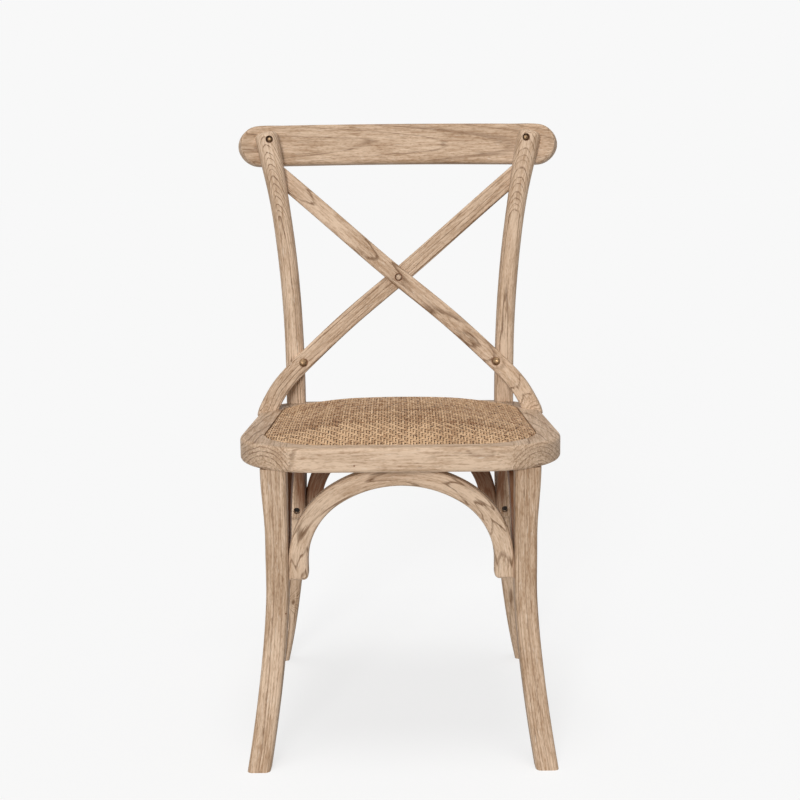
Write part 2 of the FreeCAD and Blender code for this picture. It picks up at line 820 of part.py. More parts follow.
# Centre the chair over the origin and write one file for each node
front_end = right_leg.optimalBoundingBox(False)
back_end = max(rail.optimalBoundingBox(False).YMax, right_post.optimalBoundingBox(False).YMax)
shift = Vector(0, -(front_end.YMin + back_end) / 2, 0)
os.makedirs("parts", exist_ok=True)
for name, shape in nodes.items():
    shape.translate(shift)
    shape.exportStep(f"parts/{name}.step")
    solids = len(shape.Solids)
    print(f"{name}: {solids} solids, {shape.Volume:.0f} mm3, valid {shape.isValid()}")
print("depth", round(back_end - front_end.YMin, 1), "moved back by", round(shift.y, 3))
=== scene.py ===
import bisect
import math
import random

import bpy
from bpy.props import FloatProperty, FloatVectorProperty, PointerProperty
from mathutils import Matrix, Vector


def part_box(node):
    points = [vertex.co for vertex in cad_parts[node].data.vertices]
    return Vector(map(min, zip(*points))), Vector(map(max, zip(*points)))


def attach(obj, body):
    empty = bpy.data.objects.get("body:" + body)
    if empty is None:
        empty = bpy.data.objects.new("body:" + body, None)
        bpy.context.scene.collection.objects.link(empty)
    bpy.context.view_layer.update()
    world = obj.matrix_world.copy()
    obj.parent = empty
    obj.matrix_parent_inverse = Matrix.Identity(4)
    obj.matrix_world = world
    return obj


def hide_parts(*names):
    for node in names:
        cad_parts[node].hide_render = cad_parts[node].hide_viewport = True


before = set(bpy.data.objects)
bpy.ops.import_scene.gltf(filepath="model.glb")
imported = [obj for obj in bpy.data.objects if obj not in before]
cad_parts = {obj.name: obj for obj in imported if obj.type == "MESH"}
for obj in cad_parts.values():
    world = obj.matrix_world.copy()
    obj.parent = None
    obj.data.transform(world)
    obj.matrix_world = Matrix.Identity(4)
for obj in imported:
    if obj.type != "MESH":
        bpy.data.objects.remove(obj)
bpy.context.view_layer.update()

bl_info = {
    "name": "Cross Back Chair",
    "version": (1, 0, 0),
    "blender": (4, 5, 0),
    "location": "3D View > Sidebar > Chair",
    "description": "Finishes the oak members, the woven cane seat and the fasteners of a chair",
    "category": "Object",
}

BODY = "root"

# The chair's main places, in metres, read from its own pieces
FRAME_LOW, FRAME_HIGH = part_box("seat_rail_front")
WEAVE_LOW, WEAVE_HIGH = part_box("woven_seat")
PANEL_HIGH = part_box("seat_base_panel")[1]
RAIL_LOW, RAIL_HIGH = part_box("top_rail")
ARCH_LOW, ARCH_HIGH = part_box("front_arch")
REAR_ARCH_LOW, REAR_ARCH_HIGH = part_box("rear_arch")
SIDE_ARCH_LOW, SIDE_ARCH_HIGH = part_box("side_arch_right")
SEAT_TOP = FRAME_HIGH.z
SEAT_UNDERSIDE = FRAME_LOW.z
SEAT_FRONT = FRAME_LOW.y

# How the members run, in metres; a power says how late a bend comes
POST_X = 0.1663
POST_Y = SEAT_FRONT + 0.398
POST_TOP = 0.876
POST_SPREAD = 0.044
POST_SPREAD_POWER = 2.3
POST_RAKE = 0.043
POST_RAKE_POWER = 1.5
POST_HEAD_START = 0.745
REAR_FOOT_OUT = 0.0405
REAR_FOOT_BACK = 0.062
REAR_BEND_POWER = 2.5
LEG_X = 0.1725
LEG_Y = SEAT_FRONT + 0.046
LEG_BEND_HEIGHT = 0.25
LEG_FOOT_OUT = 0.0275
LEG_FOOT_FORWARD = 0.034
LEG_BEND_POWER = 1.5
RAIL_SAG = 0.040
SPLAT_HEAD_X = 0.1974
SPLAT_HEAD_Z = 0.8165
SPLAT_SCREW_X = 0.1544
SPLAT_SCREW_Z = 0.5144
SPLAT_HEAD_Y = SEAT_FRONT + 0.4498
SPLAT_SCREW_Y = SEAT_FRONT + 0.383
SPLAT_SWEEP = 0.017
SPLAT_SWEEP_LENGTH = 0.079
SPLAT_SWEEP_FORWARD = 0.071
ARCH_THICKNESS = 0.027
ARCH_RISE = 0.106

# The fasteners' shanks and the holes that heads and plug lie in, in metres; the holes' shade is
# painted on the wood
SHANK_DIAMETER = 0.0039
RAIL_HOLE_RADIUS = 0.0059
PLUG_HOLE_RADIUS = 0.0064

# Painted shade on the wood at the lower edge of the domed heads, in metres
HEAD_SHADE_RADIUS = 0.0068
HEAD_SHADE_DROP = 0.0010

# Two pinholes in the wood, each at or just before the front of its piece, in metres; each is
# only a dark spot of painted shade
PINHOLE_RADIUS = 0.0012
RAIL_PINHOLE = Vector((-0.0615, SEAT_FRONT, 0.4262))
LEG_PINHOLE = Vector((-0.1588, SEAT_FRONT + 0.020, 0.2152))

# The woven seat's outline in metres, and the form of its crown
WEAVE_BACK_WIDTH = 0.366
WEAVE_FRONT_RADIUS = 0.092
WEAVE_BACK_RADIUS = 0.060
CROWN_FULLNESS = 2.6
CROWN_SIDE_FALL = 0.45
CROWN_LOWERING = -0.0005
CROWN_TUCK_START = 0.972
CROWN_TUCK_DEPTH = 0.0035
SLOPE_STEP = 0.002
OUTLINE_STEP = 0.005
CORNER_STEPS = 40

# The strands: two over and two under, so the twill comes round every four. They are set out
# with a small random scatter, as a share of the pitch, and none is shorter than STRAND_LEAST
# pitches. The flatness stretches a strand's wave, whose crests are then cut off level
TWILL = 4
TWILL_START = (0.5, 2.5)
STRAND_SCATTER = 0.05
STRAND_LEAST = 3
STRAND_FLATNESS = 1.5
STRAND_SIDES = 5
STRAND_SEED = 31

# The pad: rings of faces, its edge as a share of the outline, and its gap over the board
PAD_RINGS = 24
PAD_INSET = 0.992
PAD_CLEARANCE = 0.0003

# Where a domed head's ball is pressed flat behind its rim, as a share of its height
DOME_BACK = -0.08

# How a fastener's axis is found: a first guess that none is square to, and the rounds that
# better it. A piece whose second spread is over this share of its first counts as a disc
AXIS_GUESS = Vector((0.31, 0.83, 0.47))
AXIS_ROUNDS = 60
DISC_SPREAD = 0.5

# The patterns in the wood. Each has its fineness (across, along) the grain per metre, its
# detail, a shift that sets it apart from the others, and for all but the jags and fibres
# the two noise values between which it comes in
RING_JAGS = ((150.0, 16.0), 2.0, 23.0)
LINE_BREAKS = ((210.0, 11.0), 2.0, 3.0, 0.30, 0.62)
STREAKS = ((330.0, 26.0), 3.0, 29.0, 0.32, 0.70)
DASHES = ((620.0, 160.0), 2.0, 41.0, 0.46, 0.66)
FIBRES = ((1100.0, 30.0), 3.0, 1.0)
PORES = ((520.0, 60.0), 3.0, 5.0, 0.55, 0.68)
FLECKS = ((520.0, 60.0), 3.0, 11.0, 0.62, 0.74)
PATCHES = ((30.0, 8.0), 3.0, 17.0, 0.30, 0.72)

# How fine the rings' straying is, and the shift between its two directions
RING_STRAY = (13.0, 3.0)
RING_STRAY_SHIFT = 7.0

# Where a ring's dark line comes in, from 0 halfway between two lines to 1 at a line, and by
# how many rings their count varies
RING_LINE = (0.74, 0.94)
RING_VARIATION = 2.2

# The depth of the rings' jags in metres, and how quickly their spacing changes, per metre
RING_JAG_DEPTH = 0.0026
RING_UNEVENNESS = 110.0

# A knot's length, its soft edge and the bulge of the rings round it, for its radius, and
# how fast that bulge falls off
KNOT_LENGTH = 1.5
KNOT_EDGE = (0.75, 0.2)
KNOT_BULGE = 2.2
KNOT_FALL = -0.35

# How far back the cane is painted paler at the front, as painted light on its front slope, in
# metres: at all, and in full
FRONT_LIGHT_START = 0.075
FRONT_LIGHT_FULL = 0.010

# The photograph's width in pixels, and how far the floor reaches each way in metres
PHOTO_WIDTH = 800
FLOOR_REACH = 60.0

# The brightness of the metal's dark patches, as a share of its own colour
METAL_DARKENING = 0.4

# How far under the seat frame the wood is painted dark as the seat's shade, in metres: at all,
# and in full. Its edges are soft at the frame's underside and across the middle of a piece
SEAT_SHADE_START = 0.165
SEAT_SHADE_FULL = 0.100
SEAT_SHADE_TOP_EDGE = (-0.002, 0.0)
SEAT_SHADE_SIDE_EDGE = (-0.006, 0.005)

# The soft edge of a hole's painted shade as shares of its radius, and of its depth in metres
HOLE_EDGE = (1.10, 0.90)
HOLE_DEPTH = (0.020, 0.018)

# The gloss of the wood and the cane, as the shader's specular level
WOOD_GLOSS = 0.30
CANE_GLOSS = 0.35


def colour_setting(name, description, default):
    """A colour that a user can change."""
    return FloatVectorProperty(name=name, description=description, default=default,
                               subtype="COLOR", min=0, max=1)


def length_setting(name, description, default, low, high):
    """A length in metres, with its least and its most."""
    return FloatProperty(name=name, description=description, default=default,
                         min=low, max=high, unit="LENGTH")


def angle_setting(name, description, degrees):
    """An angle, whose default is in degrees."""
    return FloatProperty(name=name, description=description,
                         default=math.radians(degrees), subtype="ANGLE")


def number_setting(name, description, default, low, high):
    """A plain number, with its least and its most."""
    return FloatProperty(name=name, description=description, default=default,
                         min=low, max=high)


class ChairWoodSettings(bpy.types.PropertyGroup):
    """Colours and grain of the oak."""

    pale: colour_setting(
        "Pale wood", "Colour of the wood between the growth rings", (0.690, 0.510, 0.362))
    warm: colour_setting(
        "Warm wood", "Colour of the broad darker patches", (0.360, 0.220, 0.124))
    ring: colour_setting(
        "Ring lines", "Colour of the growth rings' dark edges", (0.160, 0.080, 0.034))
    lime: colour_setting(
        "Limed flecks", "Colour of the pale wax left in the open grain", (0.80, 0.69, 0.57))
    # painted shade: this colour is painted under the seat and in the holes as their shade
    shade_umber: colour_setting(
        "Umber wood", "Colour of the darker wood left close under the seat",
        (0.175, 0.062, 0.020))
    ring_spacing: length_setting(
        "Ring spacing", "Mean distance between growth rings", 0.0055, 0.001, 0.02)
    bump: length_setting("Open grain depth", "Height of the grain's relief", 0.00030, 0, 0.002)


class ChairWeaveSettings(bpy.types.PropertyGroup):
    """Sizes and colours of the woven cane."""

    pitch: length_setting(
        "Strand pitch", "Distance from one strand to the next", 0.0040, 0.002, 0.02)
    width: length_setting("Strand width", "Width of one flat strand", 0.0031, 0.001, 0.02)
    thickness: length_setting(
        "Strand thickness", "Thickness of one strand", 0.0012, 0.0002, 0.004)
    rise: length_setting(
        "Strand rise", "How far a strand rises and falls as it crosses the others", 0.00090, 0,
        0.004)
    cane: colour_setting("Cane", "Colour of a pale strand", (0.720, 0.475, 0.275))
    tan: colour_setting("Tan cane", "Colour of a darker strand", (0.255, 0.118, 0.048))
    fleck: colour_setting(
        "Cane flecks", "Colour of the strands' dark nodes", (0.070, 0.028, 0.010))


class ChairMetalSettings(bpy.types.PropertyGroup):
    """Colours and sizes of the fasteners."""

    brass: colour_setting("Aged brass", "Colour of the domed screws", (0.34, 0.215, 0.115))
    steel: colour_setting("Dull steel", "Colour of the sunk screws", (0.040, 0.030, 0.024))
    dome_diameter: length_setting(
        "Domed head", "Diameter of the splat screws' domed heads", 0.0125, 0.004, 0.03)
    dome_height: length_setting(
        "Dome height", "Height of the splat screws' domed heads", 0.0036, 0.001, 0.01)
    sunk_diameter: length_setting(
        "Sunk head", "Diameter of the top rail screws' heads", 0.0098, 0.004, 0.03)
    plug_diameter: length_setting(
        "Plug", "Diameter of the wooden plug where the splats cross", 0.0092, 0.004, 0.03)
    sunk_height: length_setting(
        "Sunk height", "Height of the sunk heads' and the plug's crowns", 0.0024, 0.001, 0.01)


class ChairStageSettings(bpy.types.PropertyGroup):
    """The view of the photograph and its light."""

    camera_height: length_setting(
        "Camera height", "Height of the lens over the floor", 0.797, 0, 5)
    camera_distance: length_setting(
        "Camera distance", "From the lens to the seat frame's front edge", 1.8, 0.2, 20)
    camera_pitch: angle_setting("Camera pitch", "How far the camera looks down", 8.93)
    camera_roll: angle_setting("Camera roll", "How far the camera leans", 0.5)
    focal_pixels: number_setting(
        "Focal length in pixels", "For a picture 800 pixels wide", 1385.2, 100, 10000)
    sky: number_setting("Sky strength", "Even light from all round", 0.28, 0, 5)
    top_light: number_setting("Top light strength", "Soft light from overhead", 1.15, 0, 10)
    top_height: angle_setting("Top light height", "The top light's angle over the floor", 80)
    top_softness: angle_setting("Top light softness", "Apparent width of the top light", 26)
    front_light: number_setting(
        "Front light strength", "Soft light from beside the camera", 1.88, 0, 10)
    front_height: angle_setting(
        "Front light height", "The front light's angle over the floor", 15)
    front_softness: angle_setting(
        "Front light softness", "Apparent width of the front light", 16)
    light_side: angle_setting(
        "Light side", "How far both lights stand to the camera's left", 10)
    background: number_setting("Background", "Brightness of the pale background", 0.9387, 0, 1)
    floor_bounce: number_setting(
        "Floor bounce", "Share of light that the floor gives back to the chair", 0.60, 0, 1)
    floor_shadow: number_setting(
        "Floor shadow", "Share of the floor's brightness that shadows can take", 0.26, 0, 1)


SETTINGS = {
    "chair_wood": ChairWoodSettings,
    "chair_weave": ChairWeaveSettings,
    "chair_metal": ChairMetalSettings,
    "chair_stage": ChairStageSettings,
}


def feed(tree, socket, value):
    """Link a Value or a socket to a socket, or give it a plain value."""
    if isinstance(value, Value):
        value = value.socket
    if isinstance(value, bpy.types.NodeSocket):
        tree.links.new(value, socket)
    else:
        socket.default_value = value


def fill(tree, node, inputs):
    """Feed a node's inputs, each by its name or number."""
    for key, value in inputs.items():
        feed(tree, node.inputs[key], value)


class Value:
    """A number in a node tree, so that a formula reads as it is written."""

    def __init__(self, tree, socket):
        self.tree = tree
        self.socket = socket

    def apply(self, operation, *others):
        node = self.tree.nodes.new("ShaderNodeMath")
        node.operation = operation
        for socket, value in zip(node.inputs, (self, *others)):
            feed(self.tree, socket, value)
        return Value(self.tree, node.outputs[0])

    def __add__(self, other):
        return self.apply("ADD", other)

    def __sub__(self, other):
        return self.apply("SUBTRACT", other)

    def __mul__(self, other):
        return self.apply("MULTIPLY", other)

    def __truediv__(self, other):
        return self.apply("DIVIDE", other)

    def __pow__(self, other):
        return self.apply("POWER", other)

    def at_least(self, other):
        return self.apply("MAXIMUM", other)

    def at_most(self, other):
        return self.apply("MINIMUM", other)

    def size(self):
        return self.apply("ABSOLUTE")

    def root(self):
        return self.apply("SQRT")

    def between(self, low, high):
        """From zero at low to one at high, smoothly; either may be the greater."""
        node = self.tree.nodes.new("ShaderNodeMapRange")
        node.interpolation_type = "SMOOTHSTEP"
        fill(self.tree, node, {"Value": self, "From Min": low, "From Max": high})
        return Value(self.tree, node.outputs[0])


def triple(tree, x, y, z):
    """Three numbers as one vector socket."""
    node = tree.nodes.new("ShaderNodeCombineXYZ")
    for socket, value in zip(node.inputs, (x, y, z)):
        feed(tree, socket, value)
    return node.outputs[0]


def parts(tree, vector):
    """The three parts of a vector socket as Values."""
    split = tree.nodes.new("ShaderNodeSeparateXYZ")
    tree.links.new(vector, split.inputs[0])
    return [Value(tree, socket) for socket in split.outputs]


def noise(tree, place, detail):
    """Smooth random values, about 0.5 in the middle, at a place already scaled."""
    node = tree.nodes.new("ShaderNodeTexNoise")
    fill(tree, node, {"Vector": place, "Scale": 1.0, "Detail": detail, "Roughness": 0.5})
    return Value(tree, node.outputs[0])


def speckle(tree, place, fineness, detail):
    """Noise at a place, with a fineness per metre along each axis."""
    scaled = [part * fine for part, fine in zip(place, fineness)]
    return noise(tree, triple(tree, *scaled), detail)


def mixed(tree, share, first, second):
    """A colour between two others; each is a tuple or a socket."""
    node = tree.nodes.new("ShaderNodeMix")
    node.data_type = "RGBA"
    feed(tree, node.inputs[0], share)
    for socket, colour in ((node.inputs[6], first), (node.inputs[7], second)):
        linked = isinstance(colour, bpy.types.NodeSocket)
        feed(tree, socket, colour if linked else (*colour, 1.0))
    return node.outputs[2]


def blank_material(name):
    """A new material, its node tree and its surface shader."""
    material = bpy.data.materials.new(name)
    material.use_nodes = True
    tree = material.node_tree
    shader = tree.nodes["Principled BSDF"]
    return material, tree, shader


def object_place(tree):
    """The three Object coordinates as Values."""
    return parts(tree, tree.nodes.new("ShaderNodeTexCoord").outputs["Object"])


def relief(tree, shader, height, strength, distance):
    """Raise the surface by a height, as a bump."""
    bump = tree.nodes.new("ShaderNodeBump")
    fill(tree, bump, {"Strength": strength, "Distance": distance, "Height": height})
    tree.links.new(bump.outputs[0], shader.inputs["Normal"])


# Each grain function gives a place in the wood as (across, through, along), in metres:
# along follows the fibres, across the member's width and through its depth.


def post_grain(side):
    """The posts' grain follows their bends, above the seat and down to the feet."""
    def grain(x, y, z):
        rise = ((z - SEAT_TOP) / (POST_TOP - SEAT_TOP)).at_least(0)
        fall = ((z * -1 + SEAT_UNDERSIDE) / SEAT_UNDERSIDE).at_least(0)
        foot = fall ** REAR_BEND_POWER
        across = x * side - POST_X - rise ** POST_SPREAD_POWER * POST_SPREAD
        through = y - POST_Y - rise ** POST_RAKE_POWER * POST_RAKE
        return across - foot * REAR_FOOT_OUT, through - foot * REAR_FOOT_BACK, z
    return grain


def head_drift(rate):
    """The rings of a post run out fast at its shaped head, and hardly below it."""
    def drift(along):
        return along * 0.02 + (along - POST_HEAD_START).at_least(0) * rate
    return drift


def leg_grain(side):
    """The front legs' grain follows their bend to the feet."""
    def grain(x, y, z):
        fall = ((z * -1 + LEG_BEND_HEIGHT) / LEG_BEND_HEIGHT).at_least(0)
        bend = fall ** LEG_BEND_POWER
        across = x * side - LEG_X - bend * LEG_FOOT_OUT
        through = y - LEG_Y + bend * LEG_FOOT_FORWARD
        return across, through, z
    return grain


def rail_grain(x, y, z):
    """The top rail's grain follows its bend in plan."""
    half = RAIL_HIGH.x
    setback = x * x * (RAIL_SAG / half ** 2)
    return z - (RAIL_LOW.z + RAIL_HIGH.z) / 2, y + setback - RAIL_HIGH.y, x


def splat_grain(side):
    """Along a splat from its head to its foot; side is +1 where the foot is at the right."""
    run = Vector((SPLAT_SCREW_X + SPLAT_HEAD_X, 0, SPLAT_SCREW_Z - SPLAT_HEAD_Z))
    length = run.length
    step_x = run.x / length
    step_z = run.z / length

    def grain(x, y, z):
        from_head = x * side + SPLAT_HEAD_X
        below = z - SPLAT_HEAD_Z
        along = from_head * step_x + below * step_z
        past = ((along - length) / SPLAT_SWEEP_LENGTH).at_least(0)
        across = below * step_x - from_head * step_z + past * past * SPLAT_SWEEP
        fall = along * ((SPLAT_HEAD_Y - SPLAT_SCREW_Y) / length)
        through = y - SPLAT_HEAD_Y + fall + past * past * SPLAT_SWEEP_FORWARD
        return across, through, along
    return grain


def arch_grain(axis, middle, outer_half):
    """The grain follows a bent arch; axis 0 spans X and axis 1 spans Y about a middle."""
    mid_radius = outer_half - ARCH_THICKNESS / 2
    crown = ARCH_HIGH.z - ARCH_THICKNESS
    spring = crown - ARCH_RISE
    stretch = (outer_half - ARCH_THICKNESS) / ARCH_RISE

    def grain(x, y, z):
        span = (x, y)[axis] - middle[axis]
        depth = (x, y)[1 - axis] - middle[1 - axis]
        over = (z - spring).at_least(0) * stretch
        radius = (span * span + over * over).root()
        angle = over.apply("ARCTAN2", span)
        below = (z - spring).at_most(0) * span.apply("SIGN")
        return radius - mid_radius, depth, angle * mid_radius + below
    return grain


def straight_grain(place, axis):
    """Straight grain about a place; axis 0 runs along X and axis 1 along Y."""
    def grain(x, y, z):
        if axis == 0:
            return z - place.z, y - place.y, x
        return z - place.z, x - place.x, y
    return grain


def knotted(rings, knots, across, along):
    """Rings bent round each knot, and how dark the knots are."""
    dark = None
    for knot_across, knot_along, knot_radius in knots:
        aside = (across - knot_across) / knot_radius
        down = (along - knot_along) / (knot_radius * KNOT_LENGTH)
        distance = (aside * aside + down * down).root()
        bulge = (distance * distance * KNOT_FALL).apply("EXPONENT")
        rings = rings + bulge * (knot_radius * KNOT_BULGE)
        core = distance.between(*KNOT_EDGE)
        dark = core if dark is None else dark.at_least(core)
    return rings, dark


def wood(name, grain, pith, seed, wander=0.010, lean=0.03, spacing=1.0, tone=0.0,
         lines=1.0, knots=(), drift=None, seat_shade=0.0, shade_side=-1, holes=()):
    """Oak with growth rings about a pith, open pores and limed flecks.

    pith: the ring centre's (across, through) place
    wander, lean: how far the rings stray, and how fast they drift along the grain
    drift: a function that says the drift otherwise
    spacing, tone, lines: the rings' spacing, the wood's darkness and the lines' strength
    knots: a list of (across, along, radius)
    seat_shade, inner: how strongly the wood close under the seat is painted dark as the
    seat's shade, on the side where through has the sign of inner
    holes: a list of (place, radius) of holes and spots, painted dark as shade, seen from the
    front
    """
    settings = bpy.context.scene.chair_wood
    material, tree, shader = blank_material(name)
    x, y, z = object_place(tree)
    across, through, along = grain(x, y, z)

    def field(fineness, detail, shift, low=None, high=None):
        over, down = fineness
        place = triple(tree, across * over + seed, through * over + shift, along * down)
        value = noise(tree, place, detail)
        return value if low is None else value.between(low, high)

    # growth rings
    stray_across = (field(RING_STRAY, 1.0, seed) - 0.5) * (2 * wander)
    stray_through = (field(RING_STRAY, 1.0, seed + RING_STRAY_SHIFT) - 0.5) * (2 * wander)
    jag = (field(*RING_JAGS) - 0.5) * RING_JAG_DEPTH
    from_pith = across - pith[0] + stray_across
    beside = through - pith[1] + stray_through
    radius = (from_pith * from_pith + beside * beside).root()
    radius = radius + (drift(along) if drift else along * lean) + jag
    radius, knot_shade = knotted(radius, knots, across, along)
    ring = radius / (settings.ring_spacing * spacing)
    uneven = noise(tree, triple(tree, radius * RING_UNEVENNESS, seed, 0.0), 1.0)
    phase = (ring + uneven * RING_VARIATION).apply("FRACT")
    crisp = ((phase - 0.5).size() * 2).between(*RING_LINE)
    soft = phase ** 3.0
    broken = field(*LINE_BREAKS)
    line_share = ((crisp * (broken * 0.7 + 0.3) * 0.90 + soft * 0.16) * lines).at_most(1.0)

    # streaks of fibre, open pores and the pale wax left in some of them
    streak = field(*STREAKS)
    dash = field(*DASHES)
    fibre = field(*FIBRES)
    pore_share = field(*PORES) * (soft * 0.55 + 0.30)
    flecks = field(*FLECKS)
    patch = field(*PATCHES)

    shade = patch * 0.46 + streak * 0.56 + dash * 0.34 + fibre * 0.40 + (tone - 0.50)
    body = mixed(tree, shade.at_least(0), settings.pale, settings.warm)
    grained = mixed(tree, line_share, body, settings.ring)
    pored = mixed(tree, pore_share * 0.70, grained, settings.ring)
    colour = mixed(tree, flecks * 0.42, pored, settings.lime)
    if knot_shade is not None:
        colour = mixed(tree, knot_shade * 0.85, colour, settings.ring)
    # painted shade: the wood just under the seat frame, on one side of the piece, is darkened as
    # the seat's shadow
    if seat_shade:
        near = z.between(SEAT_UNDERSIDE - SEAT_SHADE_START, SEAT_UNDERSIDE - SEAT_SHADE_FULL)
        below = (z * -1 + SEAT_UNDERSIDE).between(*SEAT_SHADE_TOP_EDGE)
        inside = (through * shade_side).between(*SEAT_SHADE_SIDE_EDGE)
        dark = near * below * inside * (streak * 0.2 + 0.8) * seat_shade
        colour = mixed(tree, dark, colour, settings.shade_umber)
    # painted shade in the holes, under the domed heads and in the pinholes
    for place, hole_radius in holes:
        over = x - place[0]
        up = z - place[2]
        far = (over * over + up * up).root() / hole_radius
        dark = far.between(*HOLE_EDGE) * (y - place[1]).between(*HOLE_DEPTH)
        colour = mixed(tree, dark * 0.85, colour, settings.shade_umber)
    fill(tree, shader, {"Base Color": colour, "Specular IOR Level": WOOD_GLOSS,
                        "Roughness": pore_share * 0.18 + fibre * 0.22 + 0.50})
    height = fibre * 0.40 + streak * 0.25 - pore_share * 1.1 - line_share * 0.45
    relief(tree, shader, height, 0.9, settings.bump)
    return material


def named_value(tree, name):
    """A number stored on a mesh."""
    attribute = tree.nodes.new("ShaderNodeAttribute")
    attribute.attribute_name = name
    return Value(tree, attribute.outputs["Fac"])


def cane():
    """Split rattan: pale strands with a silky skin, tan streaks and a few dark nodes."""
    settings = bpy.context.scene.chair_weave
    material, tree, shader = blank_material("woven_cane")
    tone = named_value(tree, "strand_tone")
    run = named_value(tree, "strand_run")
    place = object_place(tree)
    streak = noise(tree, triple(tree, run * 55.0, tone * 400.0, 0.0), 3.0).between(0.30, 0.72)
    fibre = speckle(tree, place, (900.0, 900.0, 900.0), 2.0)
    patch = speckle(tree, place, (20.0, 20.0, 20.0), 2.0).between(0.3, 0.7)
    # painted light: the cane is painted paler towards the front, where its crown faces the light
    toned = (place[1] - WEAVE_LOW.y).between(FRONT_LIGHT_START, FRONT_LIGHT_FULL)
    share = tone * 0.55 + streak * 0.62 + patch * 0.22 + fibre * 0.30 - 0.34 - toned * 0.34
    body = mixed(tree, share.at_least(0).at_most(1), settings.cane, settings.tan)
    node = noise(tree, triple(tree, run * 170.0, tone * 900.0, 3.0), 1.0).between(0.63, 0.73)
    colour = mixed(tree, node * 0.85, body, settings.fleck)
    fill(tree, shader, {"Base Color": colour, "Roughness": streak * 0.25 + 0.38,
                        "Specular IOR Level": CANE_GLOSS})
    relief(tree, shader, fibre + streak, 0.5, 0.00012)
    return material


def gap_shade():
    """The pad under the cane, seen only through the weave's small gaps, painted dark as their
    shade.
    """
    material, tree, shader = blank_material("seat_gap_shade")
    weave = speckle(tree, object_place(tree), (900.0, 900.0, 300.0), 2.0)
    colour = mixed(tree, weave, (0.070, 0.030, 0.012), (0.150, 0.075, 0.034))
    fill(tree, shader, {"Base Color": colour, "Roughness": 0.85})
    return material


def plywood():
    """The seat's base board: thin layers at its edge, rotary-cut figure on its face."""
    material, tree, shader = blank_material("seat_plywood")
    place = object_place(tree)
    layers = (place[2] * 700.0).apply("FRACT").between(0.3, 0.7)
    figure = speckle(tree, place, (60.0, 6.0, 40.0), 3.0).between(0.3, 0.7)
    face = mixed(tree, figure, (0.56, 0.41, 0.27), (0.42, 0.28, 0.165))
    colour = mixed(tree, layers * 0.4, face, (0.30, 0.19, 0.11))
    fill(tree, shader, {"Base Color": colour, "Roughness": 0.62})
    relief(tree, shader, figure, 0.3, 0.0002)
    return material


def metal(name, colour, roughness, metallic):
    """Worn metal with darker patches and fine scratches."""
    material, tree, shader = blank_material(name)
    place = object_place(tree)
    patch = speckle(tree, place, (500.0, 500.0, 500.0), 3.0).between(0.35, 0.7)
    scratch = speckle(tree, place, (4000.0, 900.0, 300.0), 2.0)
    toned = mixed(tree, patch, colour, [part * METAL_DARKENING for part in colour])
    fill(tree, shader, {"Base Color": toned, "Metallic": metallic,
                        "Roughness": patch * 0.2 + scratch * 0.15 + roughness})
    relief(tree, shader, scratch, 0.3, 0.00005)
    return material


def finish(node, material):
    """Give a CAD piece its material."""
    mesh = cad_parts[node].data
    mesh.materials.clear()
    mesh.materials.append(material)


def new_object(name, data, material=None):
    """Put a mesh, a light or a camera in the scene as an object at the origin."""
    piece = bpy.data.objects.new(name, data)
    bpy.context.scene.collection.objects.link(piece)
    if material:
        data.materials.append(material)
    return piece


def baked(piece):
    """Turn a piece with modifiers into a plain mesh."""
    bpy.context.view_layer.update()
    graph = bpy.context.evaluated_depsgraph_get()
    mesh = bpy.data.meshes.new_from_object(piece.evaluated_get(graph))
    piece.modifiers.clear()
    piece.data = mesh
    return piece


class GeometryTree:
    """A Geometry Nodes tree under construction, with named inputs."""

    def __init__(self, name):
        self.tree = bpy.data.node_groups.new(name, "GeometryNodeTree")
        for way in ("INPUT", "OUTPUT"):
            self.tree.interface.new_socket("Geometry", in_out=way,
                                           socket_type="NodeSocketGeometry")
        self.identifiers = {}
        self.inputs = self.tree.nodes.new("NodeGroupInput")
        self.output = self.tree.nodes.new("NodeGroupOutput")

    def numbers(self, *names):
        """Named sizes that the modifier sets, as Values."""
        for name in names:
            item = self.tree.interface.new_socket(name, in_out="INPUT",
                                                  socket_type="NodeSocketFloat")
            self.identifiers[name] = item.identifier
        return [Value(self.tree, self.inputs.outputs[name]) for name in names]

    def add(self, kind, inputs=None, **settings):
        """A node with its settings and inputs, as its first output."""
        node = self.tree.nodes.new(kind)
        for key, value in settings.items():
            setattr(node, key, value)
        fill(self.tree, node, inputs or {})
        return node.outputs[0]

    def attribute(self, name, data_type="FLOAT"):
        """A named attribute of the points."""
        return self.add("GeometryNodeInputNamedAttribute", {"Name": name}, data_type=data_type)

    def scaled(self, geometry, x, y, z):
        """The geometry at another scale along each axis."""
        scale = triple(self.tree, x, y, z)
        return self.add("GeometryNodeTransform", {"Geometry": geometry, "Scale": scale})

    def smooth(self, geometry):
        """The geometry with smooth shading."""
        return self.add("GeometryNodeSetShadeSmooth", {"Geometry": geometry})

    def end(self, geometry, material):
        """Realize Instances and Set Material, and out."""
        real = self.add("GeometryNodeRealizeInstances", {"Geometry": geometry})
        done = self.add("GeometryNodeSetMaterial", {"Geometry": real, "Material": material})
        self.tree.links.new(done, self.output.inputs[0])

    def run(self, piece, **sizes):
        """Apply the tree to a piece with these sizes and bake the result."""
        modifier = piece.modifiers.new(self.tree.name, "NODES")
        modifier.node_group = self.tree
        for name, value in sizes.items():
            modifier[self.identifiers[name.replace("_", " ")]] = value
        return baked(piece)


def divided(outline, step):
    """A closed outline with its long straight runs divided."""
    points = []
    for a, b in zip(outline, outline[1:] + outline[:1]):
        count = max(1, round((b - a).length / step))
        points += [a + (b - a) * (i / count) for i in range(count)]
    return points


